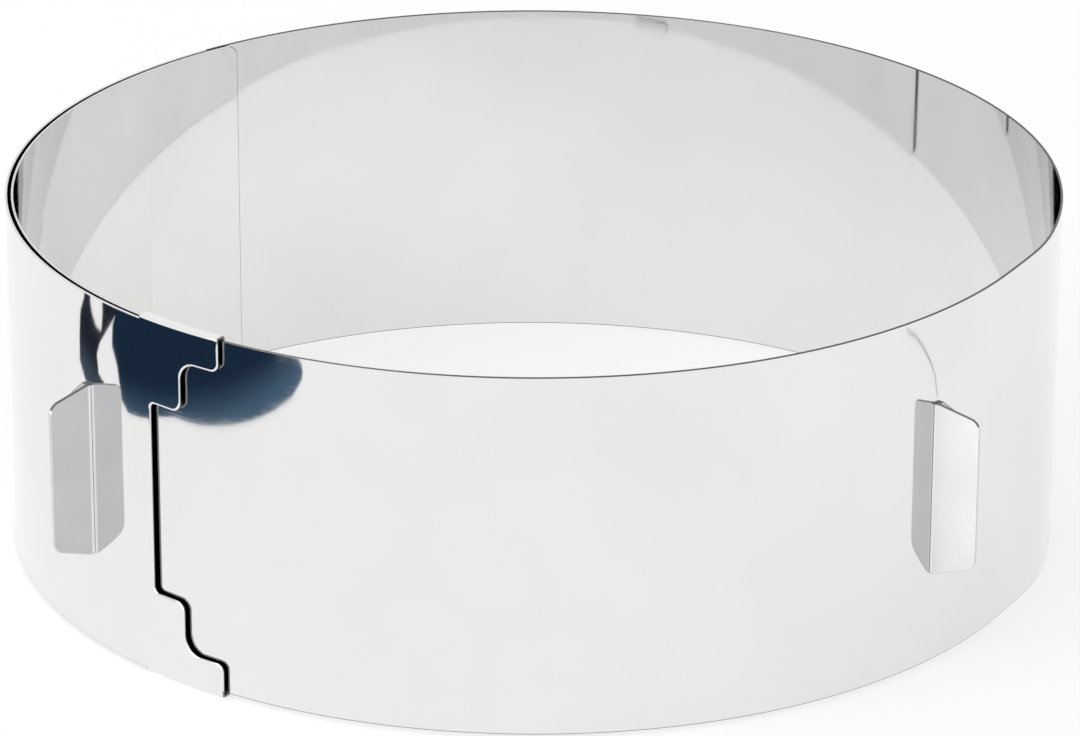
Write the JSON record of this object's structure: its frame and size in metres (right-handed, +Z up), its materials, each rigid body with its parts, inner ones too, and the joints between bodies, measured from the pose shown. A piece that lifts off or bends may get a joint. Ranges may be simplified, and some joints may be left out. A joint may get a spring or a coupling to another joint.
{
  "type": "adjustable cake ring",
  "caption": "Round steel cake ring, a springy strip wound on itself with a stepped seam and two upright grips, set to size by sliding.",
  "frame": {"origin": "on the ring's axis, on the surface that the ring stands on", "axes": "+Z up along the ring's axis, -Y towards the pictured front, +X to its right"},
  "size_m": [0.2468, 0.2454, 0.0866],
  "materials": {
    "strip_steel": "polished",
    "grip_steel": "satin"
  },
  "bodies": {
    "outer_end": {"band_outer_end": "strip_steel"},
    "link_01": {"band_link_01": "strip_steel", "grip_left": "grip_steel"},
    "link_02": {"band_link_02": "strip_steel"},
    "link_03": {"band_link_03": "strip_steel"},
    "link_04": {"band_link_04": "strip_steel"},
    "link_05": {"band_link_05": "strip_steel"},
    "link_06": {"band_link_06": "strip_steel"},
    "link_07": {"band_link_07": "strip_steel"},
    "link_08": {"band_link_08": "strip_steel"},
    "link_09": {"band_link_09": "strip_steel"},
    "link_10": {"band_link_10": "strip_steel"},
    "link_11": {"band_link_11": "strip_steel"},
    "link_12": {"band_link_12": "strip_steel"},
    "link_13": {"band_link_13": "strip_steel"},
    "link_14": {"band_link_14": "strip_steel"},
    "link_15": {"band_link_15": "strip_steel"},
    "link_16": {"band_link_16": "strip_steel"},
    "link_17": {"band_link_17": "strip_steel"},
    "link_18": {"band_link_18": "strip_steel"},
    "link_19": {"band_link_19": "strip_steel", "grip_right": "grip_steel"},
    "link_20": {"band_link_20": "strip_steel"},
    "link_21": {"band_link_21": "strip_steel"},
    "link_22": {"band_link_22": "strip_steel"},
    "link_23": {"band_link_23": "strip_steel"},
    "link_24": {"band_link_24": "strip_steel"},
    "link_25": {"band_link_25": "strip_steel"},
    "link_26": {"band_link_26": "strip_steel"},
    "link_27": {"band_link_27": "strip_steel"},
    "link_28": {"band_link_28": "strip_steel"},
    "link_29": {"band_link_29": "strip_steel"},
    "link_30": {"band_link_30": "strip_steel"},
    "link_31": {"band_link_31": "strip_steel"},
    "link_32": {"band_link_32": "strip_steel"},
    "inner_end": {"band_inner_end": "strip_steel"}
  },
  "joints": [
    {"name": "bend_00", "type": "hinge", "parent": "link_01", "child": "outer_end", "pos_m": [-0.09076, -0.08317, 0.0433], "axis": [0, 0, 1], "range_deg": [-2.69, 4.79]},
    {"name": "bend_01", "type": "hinge", "parent": "link_02", "child": "link_01", "pos_m": [-0.10818, -0.05874, 0.0433], "axis": [0, 0, 1], "range_deg": [-2.69, 4.79]},
    {"name": "bend_02", "type": "hinge", "parent": "link_03", "child": "link_02", "pos_m": [-0.11918, -0.03082, 0.0433], "axis": [0, 0, 1], "range_deg": [-2.69, 4.79]},
    {"name": "bend_03", "type": "hinge", "parent": "link_04", "child": "link_03", "pos_m": [-0.1231, -0.00107, 0.0433], "axis": [0, 0, 1], "range_deg": [-2.69, 4.79]},
    {"name": "bend_04", "type": "hinge", "parent": "link_05", "child": "link_04", "pos_m": [-0.1197, 0.02874, 0.0433], "axis": [0, 0, 1], "range_deg": [-2.69, 4.79]},
    {"name": "bend_05", "type": "hinge", "parent": "link_06", "child": "link_05", "pos_m": [-0.10919, 0.05684, 0.0433], "axis": [0, 0, 1], "range_deg": [-2.69, 4.79]},
    {"name": "bend_06", "type": "hinge", "parent": "link_07", "child": "link_06", "pos_m": [-0.0922, 0.08157, 0.0433], "axis": [0, 0, 1], "range_deg": [-2.69, 4.79]},
    {"name": "bend_07", "type": "hinge", "parent": "link_08", "child": "link_07", "pos_m": [-0.06972, 0.10145, 0.0433], "axis": [0, 0, 1], "range_deg": [-2.69, 4.79]},
    {"name": "bend_08", "type": "hinge", "parent": "link_09", "child": "link_08", "pos_m": [-0.04311, 0.1153, 0.0433], "axis": [0, 0, 1], "range_deg": [-2.69, 4.79]},
    {"name": "bend_09", "type": "hinge", "parent": "link_10", "child": "link_09", "pos_m": [-0.01394, 0.12231, 0.0433], "axis": [0, 0, 1], "range_deg": [-2.69, 4.79]},
    {"name": "ring_size", "type": "hinge", "parent": "link_10", "child": "link_11", "pos_m": [0.01607, 0.12205, 0.0433], "axis": [0, 0, -1], "range_deg": [-2.49, 4.59]},
    {"name": "bend_11", "type": "hinge", "parent": "link_11", "child": "link_12", "pos_m": [0.04512, 0.11453, 0.0433], "axis": [0, 0, -1], "range_deg": [-2.69, 4.79]},
    {"name": "bend_12", "type": "hinge", "parent": "link_12", "child": "link_13", "pos_m": [0.07148, 0.10022, 0.0433], "axis": [0, 0, -1], "range_deg": [-2.69, 4.79]},
    {"name": "bend_13", "type": "hinge", "parent": "link_13", "child": "link_14", "pos_m": [0.09361, 0.07995, 0.0433], "axis": [0, 0, -1], "range_deg": [-2.69, 4.79]},
    {"name": "bend_14", "type": "hinge", "parent": "link_14", "child": "link_15", "pos_m": [0.11017, 0.05493, 0.0433], "axis": [0, 0, -1], "range_deg": [-2.69, 4.79]},
    {"name": "bend_15", "type": "hinge", "parent": "link_15", "child": "link_16", "pos_m": [0.12018, 0.02664, 0.0433], "axis": [0, 0, -1], "range_deg": [-2.69, 4.79]},
    {"name": "bend_16", "type": "hinge", "parent": "link_16", "child": "link_17", "pos_m": [0.12306, -0.00322, 0.0433], "axis": [0, 0, -1], "range_deg": [-2.69, 4.79]},
    {"name": "bend_17", "type": "hinge", "parent": "link_17", "child": "link_18", "pos_m": [0.11862, -0.0329, 0.0433], "axis": [0, 0, -1], "range_deg": [-2.69, 4.79]},
    {"name": "bend_18", "type": "hinge", "parent": "link_18", "child": "link_19", "pos_m": [0.10592, -0.05993, 0.0433], "axis": [0, 0, -1], "range_deg": [-2.72, 4.85]},
    {"name": "bend_19", "type": "hinge", "parent": "link_19", "child": "link_20", "pos_m": [0.08828, -0.08377, 0.0433], "axis": [0, 0, -1], "range_deg": [-2.72, 4.85]},
    {"name": "bend_20", "type": "hinge", "parent": "link_20", "child": "link_21", "pos_m": [0.06539, -0.10264, 0.0433], "axis": [0, 0, -1], "range_deg": [-2.72, 4.85]},
    {"name": "bend_21", "type": "hinge", "parent": "link_21", "child": "link_22", "pos_m": [0.03862, -0.11541, 0.0433], "axis": [0, 0, -1], "range_deg": [-2.72, 4.85]},
    {"name": "bend_22", "type": "hinge", "parent": "link_22", "child": "link_23", "pos_m": [0.00955, -0.12132, 0.0433], "axis": [0, 0, -1], "range_deg": [-2.72, 4.85]},
    {"name": "bend_23", "type": "hinge", "parent": "link_23", "child": "link_24", "pos_m": [-0.02009, -0.12003, 0.0433], "axis": [0, 0, -1], "range_deg": [-2.72, 4.85]},
    {"name": "bend_24", "type": "hinge", "parent": "link_24", "child": "link_25", "pos_m": [-0.04853, -0.11161, 0.0433], "axis": [0, 0, -1], "range_deg": [-2.72, 4.85]},
    {"name": "bend_25", "type": "hinge", "parent": "link_25", "child": "link_26", "pos_m": [-0.07409, -0.09655, 0.0433], "axis": [0, 0, -1], "range_deg": [-2.72, 4.85]},
    {"name": "bend_26", "type": "hinge", "parent": "link_26", "child": "link_27", "pos_m": [-0.09524, -0.07576, 0.0433], "axis": [0, 0, -1], "range_deg": [-2.72, 4.85]},
    {"name": "bend_27", "type": "hinge", "parent": "link_27", "child": "link_28", "pos_m": [-0.11074, -0.05047, 0.0433], "axis": [0, 0, -1], "range_deg": [-2.72, 4.85]},
    {"name": "bend_28", "type": "hinge", "parent": "link_28", "child": "link_29", "pos_m": [-0.11966, -0.02218, 0.0433], "axis": [0, 0, -1], "range_deg": [-2.72, 4.85]},
    {"name": "bend_29", "type": "hinge", "parent": "link_29", "child": "link_30", "pos_m": [-0.12147, 0.00743, 0.0433], "axis": [0, 0, -1], "range_deg": [-2.72, 4.85]},
    {"name": "bend_30", "type": "hinge", "parent": "link_30", "child": "link_31", "pos_m": [-0.11607, 0.0366, 0.0433], "axis": [0, 0, -1], "range_deg": [-2.72, 4.85]},
    {"name": "bend_31", "type": "hinge", "parent": "link_31", "child": "link_32", "pos_m": [-0.10377, 0.06359, 0.0433], "axis": [0, 0, -1], "range_deg": [-2.72, 4.85]},
    {"name": "bend_32", "type": "hinge", "parent": "link_32", "child": "inner_end", "pos_m": [-0.0853, 0.0868, 0.0433], "axis": [0, 0, -1], "range_deg": [-2.72, 4.85]}
  ],
  "couplings": [
    {"joint": "bend_00", "follows": "ring_size", "ratio": 1},
    {"joint": "bend_01", "follows": "ring_size", "ratio": 1},
    {"joint": "bend_02", "follows": "ring_size", "ratio": 1},
    {"joint": "bend_03", "follows": "ring_size", "ratio": 1},
    {"joint": "bend_04", "follows": "ring_size", "ratio": 1},
    {"joint": "bend_05", "follows": "ring_size", "ratio": 1},
    {"joint": "bend_06", "follows": "ring_size", "ratio": 1},
    {"joint": "bend_07", "follows": "ring_size", "ratio": 1},
    {"joint": "bend_08", "follows": "ring_size", "ratio": 1},
    {"joint": "bend_09", "follows": "ring_size", "ratio": 1},
    {"joint": "bend_11", "follows": "ring_size", "ratio": 1},
    {"joint": "bend_12", "follows": "ring_size", "ratio": 1},
    {"joint": "bend_13", "follows": "ring_size", "ratio": 1},
    {"joint": "bend_14", "follows": "ring_size", "ratio": 1},
    {"joint": "bend_15", "follows": "ring_size", "ratio": 1},
    {"joint": "bend_16", "follows": "ring_size", "ratio": 1},
    {"joint": "bend_17", "follows": "ring_size", "ratio": 1},
    {"joint": "bend_18", "follows": "ring_size", "ratio": 1.0124},
    {"joint": "bend_19", "follows": "ring_size", "ratio": 1.0124},
    {"joint": "bend_20", "follows": "ring_size", "ratio": 1.0124},
    {"joint": "bend_21", "follows": "ring_size", "ratio": 1.0124},
    {"joint": "bend_22", "follows": "ring_size", "ratio": 1.0124},
    {"joint": "bend_23", "follows": "ring_size", "ratio": 1.0124},
    {"joint": "bend_24", "follows": "ring_size", "ratio": 1.0124},
    {"joint": "bend_25", "follows": "ring_size", "ratio": 1.0124},
    {"joint": "bend_26", "follows": "ring_size", "ratio": 1.0124},
    {"joint": "bend_27", "follows": "ring_size", "ratio": 1.0124},
    {"joint": "bend_28", "follows": "ring_size", "ratio": 1.0124},
    {"joint": "bend_29", "follows": "ring_size", "ratio": 1.0124},
    {"joint": "bend_30", "follows": "ring_size", "ratio": 1.0124},
    {"joint": "bend_31", "follows": "ring_size", "ratio": 1.0124},
    {"joint": "bend_32", "follows": "ring_size", "ratio": 1.0124}
  ]
}
